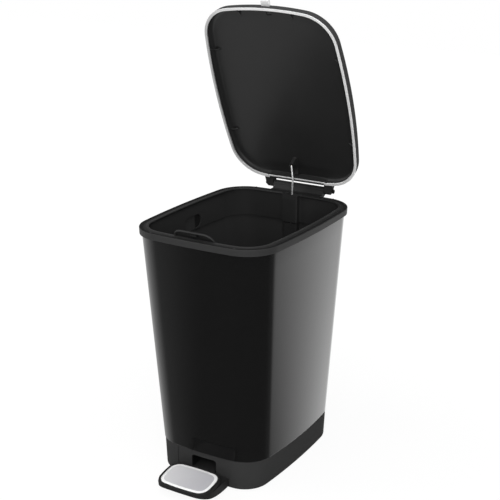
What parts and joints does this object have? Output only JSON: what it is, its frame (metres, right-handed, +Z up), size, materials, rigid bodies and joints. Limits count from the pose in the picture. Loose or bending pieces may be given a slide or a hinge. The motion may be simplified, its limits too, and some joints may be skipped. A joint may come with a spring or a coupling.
{
  "type": "pedal trash can",
  "caption": "Free-standing pedal trash can: tapered rounded body, hinged crowned lid with a bright trim ring, a lift rod inside and a foot lever with a metal tread.",
  "frame": {"origin": "on the floor under the middle of the rim, on the flat underside of the base", "axes": "+Z up, the pedal faces -Y, the lid hinge is at +Y, X is the width"},
  "size_m": [0.3372, 0.5153, 0.9952],
  "materials": {
    "body_black": "glossy black",
    "frame_black": "satin black",
    "guide_black": "plain black",
    "lid_black": "satin black, smooth inside",
    "trim_silver": "silver metallised",
    "steel": "bright steel wire and pins",
    "tread": "satin metal with a bright bevel",
    "rubber": "soft black"
  },
  "bodies": {
    "bin": {"body_tub": "body_black", "rod_cover": "frame_black", "rod_guide": "guide_black", "top_frame": "frame_black", "lid_buffers": "rubber", "bag_ring": "frame_black", "base_skirt": "frame_black", "pedal_surround": "frame_black", "base_feet": "rubber", "base_screws": "steel", "hinge_pin": "steel", "hinge_caps": "guide_black", "pivot_pin": "steel", "pivot_clips": "steel"},
    "lid": {"lid_shell": "lid_black", "lid_trim": "trim_silver"},
    "lock": {"lock_cap": "trim_silver", "lock_hook": "lid_black"},
    "pedal": {"pedal_lever": "frame_black", "pedal_plate": "tread"},
    "rod": {"lift_rod": "steel", "rod_clip": "steel"}
  },
  "joints": [
    {"name": "lid_hinge", "type": "hinge", "parent": "bin", "child": "lid", "pos_m": [0, 0.235, 0.561], "axis": [-1, 0, 0], "range_deg": [-68.66, 0]},
    {"name": "rod_slide", "type": "slide", "parent": "bin", "child": "rod", "axis": [0, 0.0706, 0.9975], "range_m": [-0.05, 0]},
    {"name": "pedal_pivot", "type": "hinge", "parent": "bin", "child": "pedal", "pos_m": [0, -0.1, 0.026], "axis": [1, 0, 0], "range_deg": [-10.7, 0]},
    {"name": "lock_slide", "type": "slide", "parent": "lid", "child": "lock", "axis": [0, 0.3639, -0.9314], "range_m": [0, 0.004]}
  ],
  "couplings": [
    {"joint": "rod_slide", "follows": "lid_hinge", "m_per_rad": 0.041724},
    {"joint": "pedal_pivot", "follows": "lid_hinge", "ratio": 0.15584}
  ]
}
